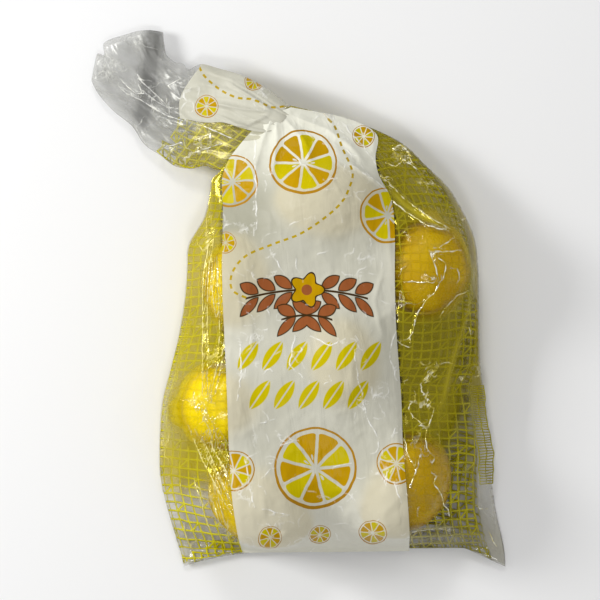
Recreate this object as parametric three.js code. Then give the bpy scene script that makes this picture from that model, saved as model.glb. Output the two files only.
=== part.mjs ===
// A two-pound bag of lemons: a tube of clear film with a knitted net inside it, welded flat at the
// bottom, drawn in to a gathered neck at the top, and ending in a loose tail of film. It lies on its
// back with seven lemons in one layer, so the film is stretched over them like a tent.
// Millimetres. +Z is up, the shown side is up, +Y runs from the bottom weld towards the neck.
import * as THREE from "three";

// ---- Driving dimensions ------------------------------------------------------------------------
const LEMON_LENGTH = 74; // stem end to blossom end
const LEMON_WIDTH = 58;
const FILM_CLEARANCE = 2.2; // net, air and film between a lemon's skin and the outer face
const TOUCH_LIMIT = 0.12; // the film leaves a lemon before its side gets as steep as this
const FLOOR = 0;

const CELLS_ACROSS = 42;
const CELLS_ALONG = 63;

// The seven lemons as they lie: centre x and y, height of the centre, and the way that the blossom
// end points, in degrees from +X and up.
const LEMONS = [
  { x: 75, y: 20, z: 31, yaw: 84, rise: 3 },
  { x: 61, y: -107, z: 31, yaw: 250, rise: 22 },
  { x: -31, y: 8, z: 30.4, yaw: 96, rise: 2 },
  { x: -43, y: -63, z: 30.4, yaw: 188, rise: 3 },
  { x: -24, y: -117, z: 30.4, yaw: 326, rise: -3 },
  { x: 17, y: 54, z: 34, yaw: 172, rise: 5 },
  { x: 24, y: -36, z: 37, yaw: 278, rise: -3 },
];

// The two side edges of the flattened tube, from the bottom weld (row 0) past the neck (row 8) to the
// mouth of the tail (last row). Each row is one crossing of the bag: its left point and right point.
const NECK_ROW = 8;
const CROSSINGS = [
  { left: [-71, -161.5, 4], right: [124, -161.5, 4] },
  { left: [-79, -123, 7], right: [118, -123, 10] },
  { left: [-85, -91, 11], right: [115, -82, 17] },
  { left: [-79, -48, 18], right: [108, -36, 25] },
  { left: [-70, -7, 24], right: [107, 3, 30] },
  { left: [-66, 33, 26], right: [103, 43, 30] },
  { left: [-55, 57, 28], right: [84, 73, 26] },
  { left: [-52, 72, 26], right: [55, 97, 24] },
  { left: [-47, 78, 24], right: [-8, 116, 27] },
  { left: [-57, 79, 16], right: [-30, 133, 20] },
  { left: [-72, 80, 11], right: [-51, 142, 14] },
  { left: [-83, 87, 8], right: [-67, 139, 11] },
  { left: [-96, 95, 7], right: [-74, 143, 10] },
  { left: [-109, 111, 7], right: [-80.5, 149, 9] },
  { left: [-126, 132, 6], right: [-82.5, 160.5, 7] },
];

// Bottom weld: its two corners hang down as ears below the straight middle.
const EAR = { drop: 11, leftReach: 0.13, rightReach: 0.055 };
const EAR_FADE = 0.09; // share of the length over which the ears die out

// Mouth of the tail: it bows outward, up and to the left, and is scalloped by the gathers.
const LIP = { toward: [-0.56, 0.83], bow: 15, scallop: 3, waves: 1.2 };
const LIP_FADE = 0.45; // share of the tail's length over which they grow

// Air that keeps the two sheets of the neck and tail apart: half thickness at the middle.
const TAIL_PUFF = [
  { at: 0.0, half: 9 },
  { at: 0.3, half: 12 },
  { at: 0.6, half: 5 },
  { at: 1.0, half: 2.5 },
];
const SHOULDER = { height: 44, width: 0.09 }; // the body's film folds over the tail at the neck
const TAIL_RIPPLE = { height: 1.5, waves: 2.5 };
const SHEET_GAP = 1.2; // least distance between the two sheets away from the edges

// Raised folds of the film: from one plan point to another, with height and half width.
const GATHER = [-15, 112]; // where the neck is drawn together
const GATHER_DIP = { depth: 5, reach: 15 };
const FOLDS = [
  { from: GATHER, to: [-36, 56], height: 6, half: 8 },
  { from: GATHER, to: [-8, 50], height: 6, half: 8 },
  { from: GATHER, to: [26, 70], height: 6, half: 8 },
  { from: GATHER, to: [-66, 126], height: 5, half: 8 },
  { from: GATHER, to: [-76, 106], height: 5, half: 8 },
  { from: [22, 100], to: [94, 36], height: 5, half: 7 },
  { from: [-55, 66], to: [-60, -22], height: 4, half: 7 },
  { from: [-70, -60], to: [-44, -146], height: 4, half: 7 },
  { from: [104, 36], to: [84, -82], height: 3, half: 7 },
  { from: [112, -88], to: [98, -148], height: 4, half: 7 },
];

const STRETCH = { sweeps: 500, step: 1.7 }; // pulls a sheet tight between its edges
const EASE = { sweeps: 2, step: 0.7 }; // takes the corners out of it afterwards
const SLACK_LOAD = 0.0012; // sag of unsupported film, per square millimetre of cell
const BACK_LOAD = 0.0115; // the same for the underside, which lies on the floor

// ---- Small helpers -----------------------------------------------------------------------------
const clamp01 = (x) => Math.min(1, Math.max(0, x));
const smooth = (x) => clamp01(x) ** 2 * (3 - 2 * clamp01(x));
const lerp = (a, b, x) => a + (b - a) * x;

function steps(table, key, at) {
  let k = 0;
  while (k < table.length - 2 && at > table[k + 1].at) k += 1;
  const [low, high] = [table[k], table[k + 1]];
  return lerp(low[key], high[key], smooth((at - low.at) / (high.at - low.at)));
}

// ---- Plan: where the sheet's point (across, along) lies, seen from above -------------------------
const edgeCurve = (side) =>
  new THREE.CatmullRomCurve3(
    CROSSINGS.map((row) => new THREE.Vector3(...row[side])),
    false,
    "catmullrom",
    0.5,
  );
const leftEdge = edgeCurve("left");
const rightEdge = edgeCurve("right");
const NECK_AT = NECK_ROW / (CROSSINGS.length - 1);

// 0 at the neck and 1 at the mouth, negative in the body.
const tailShare = (along) => (along - NECK_AT) / (1 - NECK_AT);

function planPoint(across, along) {
  const point = leftEdge.getPoint(along).lerp(rightEdge.getPoint(along), across);
  const ears =
    Math.exp(-across / EAR.leftReach) + Math.exp(-(1 - across) / EAR.rightReach);
  point.y += EAR.drop * (1 - ears) * (1 - smooth(along / EAR_FADE));
  const lip = smooth((tailShare(along) - 1 + LIP_FADE) / LIP_FADE);
  const bow = LIP.bow * Math.sin(Math.PI * across);
  const scallop = LIP.scallop * Math.sin(2 * Math.PI * LIP.waves * across);
  const out = lip * (bow + scallop * Math.sin(Math.PI * across));
  point.x += out * LIP.toward[0];
  point.y += out * LIP.toward[1];
  return point;
}

// ---- Relief: what holds the two sheets apart ----------------------------------------------------
// Heights of a lemon's lower and upper face at a plan point, or null where the film is clear of it.
function lemonFaces(lemon, x, y) {
  const turn = THREE.MathUtils.degToRad(lemon.yaw);
  const lift = THREE.MathUtils.degToRad(lemon.rise);
  const [dx, dy] = [x - lemon.x, y - lemon.y];
  const along = (dx * Math.cos(turn) + dy * Math.sin(turn)) * Math.cos(lift);
  const radius = LEMON_WIDTH / 2 + FILM_CLEARANCE;
  const half = LEMON_LENGTH / 2 + FILM_CLEARANCE;
  const longer = 1 / half ** 2 - 1 / radius ** 2;
  const a = 1 / radius ** 2 + longer * Math.sin(lift) ** 2;
  const b = longer * along * Math.sin(lift);
  const inside = b ** 2 / a + 1 - (dx ** 2 + dy ** 2) / radius ** 2 - longer * along ** 2;
  if (inside <= TOUCH_LIMIT) return null;
  const reach = Math.sqrt(a * inside);
  return { lower: lemon.z - (b + reach) / a, upper: lemon.z + (reach - b) / a };
}

function foldRelief(x, y) {
  let relief = 0;
  for (const fold of FOLDS) {
    const [dx, dy] = [fold.to[0] - fold.from[0], fold.to[1] - fold.from[1]];
    const length = Math.hypot(dx, dy);
    const along = ((x - fold.from[0]) * dx + (y - fold.from[1]) * dy) / length;
    const beside = ((x - fold.from[0]) * dy - (y - fold.from[1]) * dx) / length;
    const ends = smooth(along / 6) * smooth((length - along) / (length / 2));
    relief += fold.height * ends * smooth(1 - Math.abs(beside) / fold.half);
  }
  const fromGather = Math.hypot(x - GATHER[0], y - GATHER[1]);
  return relief - GATHER_DIP.depth * Math.exp(-((fromGather / GATHER_DIP.reach) ** 2));
}

// ---- The two sheets on one grid -----------------------------------------------------------------
const columns = CELLS_ACROSS + 1;
const rows = CELLS_ALONG + 1;
const at = (column, row) => row * columns + column;
const acrossOf = (column) => {
  const share = column / CELLS_ACROSS;
  return lerp(share, (1 - Math.cos(Math.PI * share)) / 2, 0.6);
};

const plan = [];
const top = new Float64Array(columns * rows);
const bottom = new Float64Array(columns * rows);
const topFloor = new Float64Array(columns * rows).fill(FLOOR);
const bottomRoof = new Float64Array(columns * rows).fill(Infinity);

for (let row = 0; row < rows; row += 1) {
  for (let column = 0; column < columns; column += 1) {
    const [across, along] = [acrossOf(column), row / CELLS_ALONG];
    const point = planPoint(across, along);
    const here = at(column, row);
    plan.push(point);
    top[here] = point.z;
    bottom[here] = point.z;
    for (const lemon of LEMONS) {
      const faces = lemonFaces(lemon, point.x, point.y);
      if (faces === null) continue;
      topFloor[here] = Math.max(topFloor[here], faces.upper);
      bottomRoof[here] = Math.min(bottomRoof[here], Math.max(FLOOR, faces.lower));
    }
    const tail = tailShare(along);
    const round = Math.sqrt(Math.max(0, 1 - (2 * across - 1) ** 2));
    if (tail >= 0) {
      const ripple =
        TAIL_RIPPLE.height * smooth(tail * 2) * Math.sin(2 * Math.PI * TAIL_RIPPLE.waves * across + 4 * tail);
      const half = steps(TAIL_PUFF, "half", tail) * round;
      topFloor[here] = Math.max(topFloor[here], point.z + half + ripple * round);
      bottomRoof[here] = Math.min(bottomRoof[here], Math.max(FLOOR, point.z - half));
    } else {
      const rise = smooth(1 + (along - NECK_AT) / SHOULDER.width) * round;
      topFloor[here] = Math.max(topFloor[here], lerp(FLOOR, SHOULDER.height, rise));
    }
  }
}

const gap = (a, b) => Math.max(0.05, Math.hypot(plan[a].x - plan[b].x, plan[a].y - plan[b].y));

// Stretches one sheet between its edges: each free point settles at its neighbours' weighted mean,
// less the sag, and is then kept on its own side of what it lies against.
function relax(height, { sweeps, step }, load, hold) {
  for (let sweep = 0; sweep < sweeps; sweep += 1) {
    for (let row = 1; row < rows - 1; row += 1) {
      for (let column = 1; column < columns - 1; column += 1) {
        const here = at(column, row);
        const pairs = [
          [at(column - 1, row), at(column + 1, row)],
          [at(column, row - 1), at(column, row + 1)],
        ];
        let [sum, weights] = [0, 0];
        for (const [before, after] of pairs) {
          const [back, ahead] = [gap(here, before), gap(here, after)];
          sum += (height[before] / back + height[after] / ahead) / (back + ahead);
          weights += (1 / back + 1 / ahead) / (back + ahead);
        }
        const settled = sum / weights - load / weights;
        height[here] = hold(here, lerp(height[here], settled, step));
      }
    }
  }
}
relax(top, STRETCH, SLACK_LOAD, (here, z) => Math.max(z, topFloor[here]));
relax(bottom, STRETCH, BACK_LOAD, (here, z) => Math.max(FLOOR, Math.min(z, bottomRoof[here])));

for (let row = 1; row < rows - 1; row += 1) {
  for (let column = 1; column < columns - 1; column += 1) {
    const here = at(column, row);
    const edge = Math.min(column, CELLS_ACROSS - column, row, CELLS_ALONG - row);
    top[here] += foldRelief(plan[here].x, plan[here].y) * smooth(edge / 4);
  }
}
relax(top, EASE, 0, (here, z) => Math.max(z, bottom[here] + SHEET_GAP));

// ---- The closed solid: both sheets share their outline -------------------------------------------
function bagGeometry() {
  const positions = [];
  const index = [];
  const push = (x, y, z) => positions.push(x, y, z) / 3 - 1;
  const upper = plan.map((point, here) => push(point.x, point.y, top[here]));
  const lower = plan.map((point, here) => {
    const [column, row] = [here % columns, Math.floor(here / columns)];
    const onOutline = column % CELLS_ACROSS === 0 || row % CELLS_ALONG === 0;
    return onOutline ? upper[here] : push(point.x, point.y, bottom[here]);
  });
  for (let row = 0; row < CELLS_ALONG; row += 1) {
    for (let column = 0; column < CELLS_ACROSS; column += 1) {
      const corners = [
        at(column, row),
        at(column + 1, row),
        at(column + 1, row + 1),
        at(column, row + 1),
      ];
      const [a, b, c, d] = corners.map((here) => upper[here]);
      const [e, f, g, h] = corners.map((here) => lower[here]);
      index.push(a, b, c, a, c, d);
      index.push(e, g, f, e, h, g);
    }
  }
  return new THREE.BufferGeometry()
    .setAttribute("position", new THREE.Float32BufferAttribute(positions, 3))
    .setIndex(index);
}

const film = new THREE.MeshStandardMaterial({ color: 0xd8c23a, roughness: 0.25, metalness: 0 });
const bag = new THREE.Mesh(bagGeometry(), film);
bag.name = "lemon_bag";

// The origin is under the middle of the bag, on the surface that it lies on.
bag.geometry.computeBoundingBox();
const box = bag.geometry.boundingBox;
bag.position.set(-(box.min.x + box.max.x) / 2, -(box.min.y + box.max.y) / 2, -box.min.z);

const model = new THREE.Group();
model.add(bag);
export default model;
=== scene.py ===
import math
import random

import bmesh
import bpy
import numpy as np
from mathutils import Matrix, Vector, noise


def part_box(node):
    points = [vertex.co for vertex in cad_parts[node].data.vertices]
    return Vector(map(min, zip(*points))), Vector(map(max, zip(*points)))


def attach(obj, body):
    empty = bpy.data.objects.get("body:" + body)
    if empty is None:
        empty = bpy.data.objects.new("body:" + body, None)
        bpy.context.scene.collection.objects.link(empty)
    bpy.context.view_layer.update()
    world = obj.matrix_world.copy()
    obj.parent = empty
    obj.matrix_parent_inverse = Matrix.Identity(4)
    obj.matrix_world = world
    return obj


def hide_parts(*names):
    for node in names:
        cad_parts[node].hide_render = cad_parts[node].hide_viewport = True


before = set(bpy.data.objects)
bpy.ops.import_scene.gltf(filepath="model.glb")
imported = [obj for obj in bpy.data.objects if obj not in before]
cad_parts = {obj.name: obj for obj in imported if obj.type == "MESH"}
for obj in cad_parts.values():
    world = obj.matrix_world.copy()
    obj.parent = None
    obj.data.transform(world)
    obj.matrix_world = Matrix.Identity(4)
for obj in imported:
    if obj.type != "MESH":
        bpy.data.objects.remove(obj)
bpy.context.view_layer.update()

# ---- Lemons ------------------------------------------------------------------------------------
# Seven whole lemons in one layer, washed and waxed. Each is a sphere drawn out to a lemon: a blunt
# stem end with its scar and a blossom end with its nipple, a little uneven and no two quite alike.
MM = 0.001
LEMON_LENGTH = 74
LEMON_WIDTH = 58
NIPPLE = 5  # how far it stands out of the fruit's own curve
COLLAR = 2  # and the ring round the stem's scar at the other end
# Centre over the floor, the way that the blossom end points, in degrees from +X and up, and how far
# the peel goes from lemon yellow to gold: partly its own tone, partly painted shade on the right.
LEMONS = {
    "lemon_upper_right": ((73, 18.5, 31), 84, 3, 0.9),
    "lemon_lower_right": ((61, -107, 31), 250, 22, 1.0),
    "lemon_upper_left": ((-31, 8, 30.4), 96, 2, 0.1),
    "lemon_lower_left": ((-43, -63, 30.4), 188, 3, 0.0),
    "lemon_bottom": ((-24, -117, 30.4), 326, -3, 0.45),
    "lemon_top": ((17, 54, 34), 172, 5, 0.6),
    "lemon_middle": ((24, -36, 37), 278, -3, 0.6),
}
EAR_TO_ZERO = 122.6  # from the bag's right ear back to the zero that its plan is drawn from
plan_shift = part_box("lemon_bag")[1][0] / MM - EAR_TO_ZERO


class Shade:
    """One output of a material's nodes, worked with as if it were a number."""

    def __init__(self, tree, output=None):
        self.tree = tree
        self.output = output

    def node(self, kind, settings=None, sockets=None, out=0):
        """Adds a node of that kind, its settings first, then its sockets' values or links."""
        made = self.tree.nodes.new("ShaderNode" + kind)
        for name, value in (settings or {}).items():
            setattr(made, name, value)
        for name, value in (sockets or {}).items():
            if isinstance(value, Shade):
                self.tree.links.new(value.output, made.inputs[name])
            else:
                made.inputs[name].default_value = value
        return Shade(self.tree, made.outputs[out])

    def maths(self, operation, *others):
        sockets = dict(enumerate((self, *others)))
        return self.node("Math", {"operation": operation}, sockets)

    def __add__(self, other):
        return self.maths("ADD", other)

    def __mul__(self, other):
        return self.maths("MULTIPLY", other)

    def __sub__(self, other):
        return self.maths("SUBTRACT", other)

    def __rsub__(self, other):
        return self.node("Math", {"operation": "SUBTRACT"}, {0: other, 1: self})

    def __truediv__(self, other):
        return self.maths("DIVIDE", other)

    def __pow__(self, other):
        return self.maths("POWER", other)

    __radd__ = __add__
    __rmul__ = __mul__

    def over(self, low, high):
        """0 below low and 1 above high, smooth in between; the other way round if high is lower."""
        settings = {"interpolation_type": "SMOOTHSTEP"}
        if high < low:
            return 1 - self.node("MapRange", settings, {"Value": self, "From Min": high, "From Max": low})
        return self.node("MapRange", settings, {"Value": self, "From Min": low, "From Max": high})

    def mix(self, a, b):
        """Colour a where this is 0, and b where it is 1."""
        return self.node("Mix", {"data_type": "RGBA"}, {0: self, 6: a, 7: b}, out=2)


def new_material(name, fixed):
    """An empty material: its tree, and a Principled node with the values that are the same all over."""
    material = bpy.data.materials.new(name)
    material.use_nodes = True
    tree = material.node_tree
    surface = tree.nodes["Principled BSDF"]
    for socket, value in fixed.items():
        surface.inputs[socket].default_value = value
    return material, Shade(tree), surface


def feed(surface, **sockets):
    """Links what varies over the surface to the Principled node's sockets."""
    for name, value in sockets.items():
        surface.id_data.links.new(value.output, surface.inputs[name.replace("_", " ")])


def rgb(red, green, blue):
    """A colour by its everyday 0 to 255 values."""
    linear = [c / 255 / 12.92 if c <= 10 else ((c / 255 + 0.055) / 1.055) ** 2.4 for c in (red, green, blue)]
    return (*linear, 1)


def finish_piece(name, bm, material):
    """Turns a bmesh in the bag's plan, in millimetres, into a smooth piece in its place."""
    bm.transform(Matrix.Diagonal((MM, MM, MM, 1)) @ Matrix.Translation((plan_shift, 0, 0)))
    mesh = bpy.data.meshes.new(name)
    bm.to_mesh(mesh)
    bm.free()
    mesh.shade_smooth()
    mesh.materials.append(material)
    piece = bpy.data.objects.new(name, mesh)
    bpy.context.collection.objects.link(piece)
    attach(piece, "root")
    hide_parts("lemon_bag")


peel, shade, surface = new_material("peel", {"Specular IOR Level": 0.12})
place = shade.node("TexCoord", out="Object")
along_fruit = shade.node("SeparateXYZ", {}, {0: shade.node("TexCoord", out="UV")}, out="Y")
pits = shade.node("TexVoronoi", {"feature": "SMOOTH_F1"}, {"Vector": place, "Scale": 620, "Smoothness": 0.35})
mottle = shade.node("TexNoise", {}, {"Vector": place, "Scale": 55, "Detail": 4})
tips = along_fruit.over(0.1, 0.02) + along_fruit.over(0.9, 0.98)
scar = along_fruit.over(0.022, 0.012)
# The gold is partly each peel's own tone and partly painted shade, deepest on the right-hand lemons.
gold_and_shade = shade.node("Attribute", {"attribute_name": "gold_and_shade"}, out="Fac") + mottle.over(0.2, 0.8) * 0.3 - 0.15
colour = gold_and_shade.mix(rgb(244, 216, 0), rgb(186, 149, 0))
colour = (tips * 0.5).mix(colour, rgb(196, 178, 20))
colour = scar.mix(colour, rgb(110, 92, 44))
bumps = shade.node("Bump", {}, {"Strength": 0.35, "Distance": 0.0006, "Height": pits})
feed(surface, Base_Color=colour, Roughness=mottle.over(0.2, 0.8) * 0.15 + 0.34, Normal=bumps)

for number, (name, (centre, heading, rise, gold_and_painted_shade)) in enumerate(LEMONS.items()):
    bm = bmesh.new()
    bm.loops.layers.uv.new("around_and_along")
    bmesh.ops.create_uvsphere(bm, u_segments=72, v_segments=56, radius=1, calc_uvs=True)
    gold_and_shade_layer = bm.verts.layers.float.new("gold_and_shade")
    plumpness = 1 + 0.025 * math.sin(2.4 * number)
    for v in bm.verts:
        v[gold_and_shade_layer] = gold_and_painted_shade
        height = v.co.z
        nipple = max(0, (height - 0.9) / 0.1) ** 1.6
        collar = max(0, (-height - 0.94) / 0.06) ** 1.5
        neck = math.exp(-(((height - 0.93) / 0.06) ** 2)) * 0.16
        pinch = neck + math.exp(-(((height + 0.97) / 0.05) ** 2)) * 0.1
        lump = 1 + 0.035 * noise.noise(v.co * 1.3 + Vector((number * 7.3, 0, 0)))
        girth = LEMON_WIDTH / 2 * plumpness * lump * (1 - pinch)
        v.co.x *= girth
        v.co.y *= girth * (1 + 0.02 * math.cos(number))
        v.co.z = (LEMON_LENGTH / 2 - NIPPLE) * height + NIPPLE * nipple - COLLAR * collar
    bmesh.ops.rotate(bm, verts=bm.verts, matrix=Matrix.Rotation(math.radians(70 * number), 3, "Z"))
    bmesh.ops.rotate(bm, verts=bm.verts, matrix=Matrix.Rotation(math.radians(90 - rise), 3, "Y"))
    bmesh.ops.rotate(bm, verts=bm.verts, matrix=Matrix.Rotation(math.radians(heading), 3, "Z"))
    bmesh.ops.translate(bm, verts=bm.verts, vec=centre)
    finish_piece(name, bm, peel)

# ---- Net ---------------------------------------------------------------------------------------
# A yellow polyethylene net lines the film, front and back. It has square cells between upright
# chains, with a slanting thread through a cell here and there, and follows the film's sheets inside.
FILM_OVER_LEMON = 1.4
NET_UNDER_FILM = 0.7
FOLD_UNDER_FILM = 0.3
CELL_WIDE = 6.0
CELL_LONG = 5.5
FOLDED_CELL_WIDE = 4.4
FOLDED_CELL_LONG = 1.5
STRAND = 1.35
NET_SEED = 7
SLANT_EVERY = 7  # every so many cells, one has a slanting thread
PRESS_FADE = 1.5  # how far off a lemon its press on net and band is still seen
FLOOR_GAP = 0.3  # the lowest that film lies over the floor
CLEAR = 99.0  # stands for no lemon near

# The tube lies flattened. Each row is one crossing of it, as its left and right edge points, and the
# rows run from the bottom weld up the body to where the neck is drawn together.
BODY_ROWS = [
    ((-70, -161, 3), (124, -161, 3)),
    ((-73, -150, 4), (123, -149, 4)),
    ((-80, -126, 6), (118, -126, 6)),
    ((-84.5, -107, 8), (115.5, -108, 9)),
    ((-85, -90, 11), (115.5, -90, 13)),
    ((-83.5, -63, 15), (112, -63, 20)),
    ((-78, -41, 18), (108.5, -42, 24)),
    ((-73, -21, 21), (107.5, -21, 27)),
    ((-69.5, 0, 24), (107, 0, 29)),
    ((-68, 18, 25), (106.5, 19, 30)),
    ((-67, 33, 26), (104.5, 36, 30)),
    ((-58, 49, 27), (98.5, 51, 29)),
    ((-54.5, 63, 28), (89, 67, 28)),
    ((-53, 72, 29), (76, 80, 26)),
    ((-47, 78, 31), (62.5, 93, 25)),
    ((-38, 90, 34), (43, 103, 25)),
    ((-28, 102, 36), (18, 110.5, 28)),
    ((-19, 110, 36), (-5.5, 116, 34)),
]
# Past the gather the tube falls to the upper left as a loose tail: its lower and upper edge points.
TAIL_ROWS = [
    ((-18, 99, 29), (0, 109, 29)),
    ((-33, 84, 26), (-7, 116, 29)),
    ((-47, 78, 21), (-19, 126, 25)),
    ((-57, 80.5, 15), (-34, 134.5, 20)),
    ((-66, 79, 11), (-48, 139, 15)),
    ((-76, 81, 9), (-59.5, 142, 12)),
    ((-84, 87, 8), (-67, 139, 10)),
    ((-94, 94, 7), (-70.5, 142.5, 9)),
    ((-101.5, 105, 6), (-75.5, 143.5, 8)),
    ((-112.5, 114, 5), (-80.5, 148, 7)),
    ((-121.5, 124, 5), (-82, 155, 7)),
    ((-126, 132.5, 5), (-82.5, 161.5, 7)),
]
TUBE_WIDTH = 195
EAR_DROP = 11.5
LEFT_EAR = 0.16
RIGHT_EAR = 0.13
WELD_LINE = -149
WELD_HEIGHT = 5
# The tail's mouth bows out to the upper left in a wave, with one notch in it.
LIP_TOWARD = (-0.56, 0.83)
LIP_BOW = 15
LIP_WAVE = 2.5
NOTCH_DEEP = 5
NOTCH_AT = 0.29


def smooth(x):
    """0 up to 0 and 1 from 1 on, with a soft S between."""
    x = np.clip(x, 0, 1)
    return x * x * (3 - 2 * x)


def along_points(points, t):
    """Points of a smooth curve through the given ones, at t from 0 to 1."""
    points = np.asarray(points, float)
    last = len(points) - 1
    t = np.clip(np.asarray(t, float), 0, 1) * last
    k = np.minimum(t.astype(int), last - 1)
    f = (t - k)[..., None]
    before, start, end, after = (points[np.clip(k + j, 0, last)] for j in (-1, 0, 1, 2))
    slope_in, slope_out = (end - before) / 2, (after - start) / 2
    return (
        start * (2 * f**3 - 3 * f**2 + 1)
        + slope_in * (f**3 - 2 * f**2 + f)
        + end * (3 * f**2 - 2 * f**3)
        + slope_out * (f**3 - f**2)
    )


def body_plan(across, along):
    """Where a point of the flattened body lies: x, y and the height of the tube's edges there."""
    left = along_points([row[0] for row in BODY_ROWS], along)
    right = along_points([row[1] for row in BODY_ROWS], along)
    point = left + (right - left) * across[..., None]
    ears = np.exp(-across / LEFT_EAR) + np.maximum(0, 1 - (1 - across) / RIGHT_EAR)
    point[..., 1] += EAR_DROP * (1 - ears) * (1 - smooth(along / 0.07))
    return point


def tail_plan(across, along):
    """The same for the tail, from the gather at 0 along to its mouth at 1."""
    left = along_points([row[0] for row in TAIL_ROWS], along)
    right = along_points([row[1] for row in TAIL_ROWS], along)
    point = left + (right - left) * across[..., None]
    lip = smooth((along - 0.6) / 0.4)
    arch = np.sin(math.pi * across)
    notch = NOTCH_DEEP * np.exp(-(((across - NOTCH_AT) / 0.035) ** 2)) * smooth((along - 0.85) / 0.15)
    out = lip * arch * (LIP_BOW + LIP_WAVE * np.sin(7.5 * across)) - notch
    point[..., 0] += LIP_TOWARD[0] * out
    point[..., 1] += LIP_TOWARD[1] * out
    return point


def inside_outline(outline, x, y):
    """True where a point is inside a closed outline."""
    inside = np.zeros(x.shape, bool)
    for (ax, ay, _), (bx, by, _) in zip(outline, np.roll(outline, -1, 0)):
        if ay != by:
            inside ^= ((ay > y) != (by > y)) & (x < (bx - ax) * (y - ay) / (by - ay) + ax)
    return inside


def lemon_tops(x, y):
    """Height of the lemons' upper faces under the film, or far below the floor beside them."""
    top = np.full(x.shape, -CLEAR)
    radius = LEMON_WIDTH / 2 + FILM_OVER_LEMON
    half = LEMON_LENGTH / 2 + FILM_OVER_LEMON
    longer = 1 / half**2 - 1 / radius**2
    for centre, heading, rise, _ in LEMONS.values():
        turn, lift = math.radians(heading), math.radians(rise)
        dx, dy = x - centre[0], y - centre[1]
        along = (dx * math.cos(turn) + dy * math.sin(turn)) * math.cos(lift)
        a = 1 / radius**2 + longer * math.sin(lift) ** 2
        b = longer * along * math.sin(lift)
        c = (dx**2 + dy**2) / radius**2 + longer * along**2 - 1
        inside = b * b / a - c
        height = centre[2] + (np.sqrt(np.maximum(a * inside, 0)) - b) / a
        top = np.where(inside > 0.1, np.maximum(top, height), top)
    return top


def over_lemons(x, y):
    """1 well inside a lemon's outline in the plan, falling to 0 along it; its tips don't count."""
    cover = np.zeros(x.shape)
    half_without_tip = LEMON_LENGTH / 2 - 6
    for centre, heading, *_ in LEMONS.values():
        turn = math.radians(heading)
        dx, dy = x - centre[0], y - centre[1]
        u = (dx * math.cos(turn) + dy * math.sin(turn)) / half_without_tip
        v = (dy * math.cos(turn) - dx * math.sin(turn)) / (LEMON_WIDTH / 2)
        cover = np.maximum(cover, smooth((1 - np.abs(u) ** 1.6 - v**2) / 0.3))
    return cover


# The body's film is stretched over the lemons as a tight skin: from the heights of its edges inwards,
# each spot of a fine raster settles at its neighbours' mean, less a little sag, and never below a lemon.
RASTER = 1.0
raster_x = np.arange(-100, 140, RASTER)
raster_y = np.arange(-172, 124, RASTER)
spot_x, spot_y = np.meshgrid(raster_x, raster_y)
sides = np.linspace(0, 1, 220)
ends = np.linspace(0, 1, 60)
body_outline = np.concatenate(
    [
        body_plan(ends, 0 * ends),
        body_plan(1 + 0 * sides, sides),
        body_plan(1 - ends, 1 + 0 * ends),
        body_plan(0 * sides, 1 - sides),
    ]
)
in_body = inside_outline(body_outline, spot_x, spot_y)
nearest = np.zeros(spot_x.shape, int)
closest = np.full(spot_x.shape, np.inf)
for k, (ox, oy, _) in enumerate(body_outline):
    far = (spot_x - ox) ** 2 + (spot_y - oy) ** 2
    nearer = far < closest
    nearest[nearer] = k
    closest[nearer] = far[nearer]
edge_height = body_outline[nearest, 2]
welded = spot_y < WELD_LINE
rest = np.where(welded, WELD_HEIGHT, edge_height)


def settle(start, free, low, high, sag, sweeps=420, pull=1.92):
    """Tightens a sheet: free spots go to their neighbours' mean, less the sag, between low and high."""
    height = start.copy()
    chequer = (np.indices(height.shape).sum(0) % 2).astype(bool)
    for _ in range(sweeps):
        for colour in (chequer, ~chequer):
            mean = np.zeros_like(height)
            mean[1:-1, 1:-1] = (
                height[:-2, 1:-1] + height[2:, 1:-1] + height[1:-1, :-2] + height[1:-1, 2:]
            ) / 4
            moved = np.clip(height + pull * (mean - sag - height), low, high)
            height = np.where(free & colour, moved, height)
    return height


def soften(height, passes):
    """Rounds off what is sharper than film can be."""
    for _ in range(passes):
        padded = np.pad(height, 1, mode="edge")
        height = (
            4 * height + padded[:-2, 1:-1] + padded[2:, 1:-1] + padded[1:-1, :-2] + padded[1:-1, 2:]
        ) / 8
    return height


free = in_body & ~welded
lemon_height = lemon_tops(spot_x, spot_y)
front_raster = soften(settle(rest, free, np.maximum(lemon_height, 0.5), CLEAR, 0.0012), 3)
under = np.full(spot_x.shape, CLEAR)
RESTING = 22  # radius of the round on which a lemon presses the back sheet down
for centre, *_ in LEMONS.values():
    reach = np.hypot(spot_x - centre[0], spot_y - centre[1])
    under = np.where(reach < RESTING, np.minimum(under, 0.4 + (reach / RESTING) ** 2 * 6), under)
back_raster = soften(settle(rest, free, FLOOR_GAP, np.maximum(under, FLOOR_GAP), 0.01), 2)


def sample(raster, x, y):
    """Height of a raster at any plan point, between its spots."""
    column = np.clip((x - raster_x[0]) / RASTER, 0, len(raster_x) - 1.001)
    row = np.clip((y - raster_y[0]) / RASTER, 0, len(raster_y) - 1.001)
    c, r = column.astype(int), row.astype(int)
    fc, fr = column - c, row - r
    lower = raster[r, c] * (1 - fc) + raster[r, c + 1] * fc
    upper = raster[r + 1, c] * (1 - fc) + raster[r + 1, c + 1] * fc
    return lower * (1 - fr) + upper * fr


TAIL_PUFF = [6, 10, 12, 12.5, 11, 9, 7.5, 6.5, 5.5, 4.5, 4, 3]  # half its thickness at each of its rows


def tail_heights(across, along, edge):
    """Heights of the tail's front and back sheets: puffed with air past the gather, flat at the mouth."""
    puff = along_points([(half,) for half in TAIL_PUFF], along)[..., 0]
    arch = np.sqrt(np.maximum(0, 1 - (2 * across - 1) ** 2))
    sway = 2.2 * across + 0.25 * np.sin(5 * along)
    waves = 1.6 * smooth(along * 2) * np.sin(2 * math.pi * sway + 3 * along)
    front = edge + (puff + waves) * arch
    back = np.maximum(FLOOR_GAP, edge - puff * arch)
    return front, back


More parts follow.
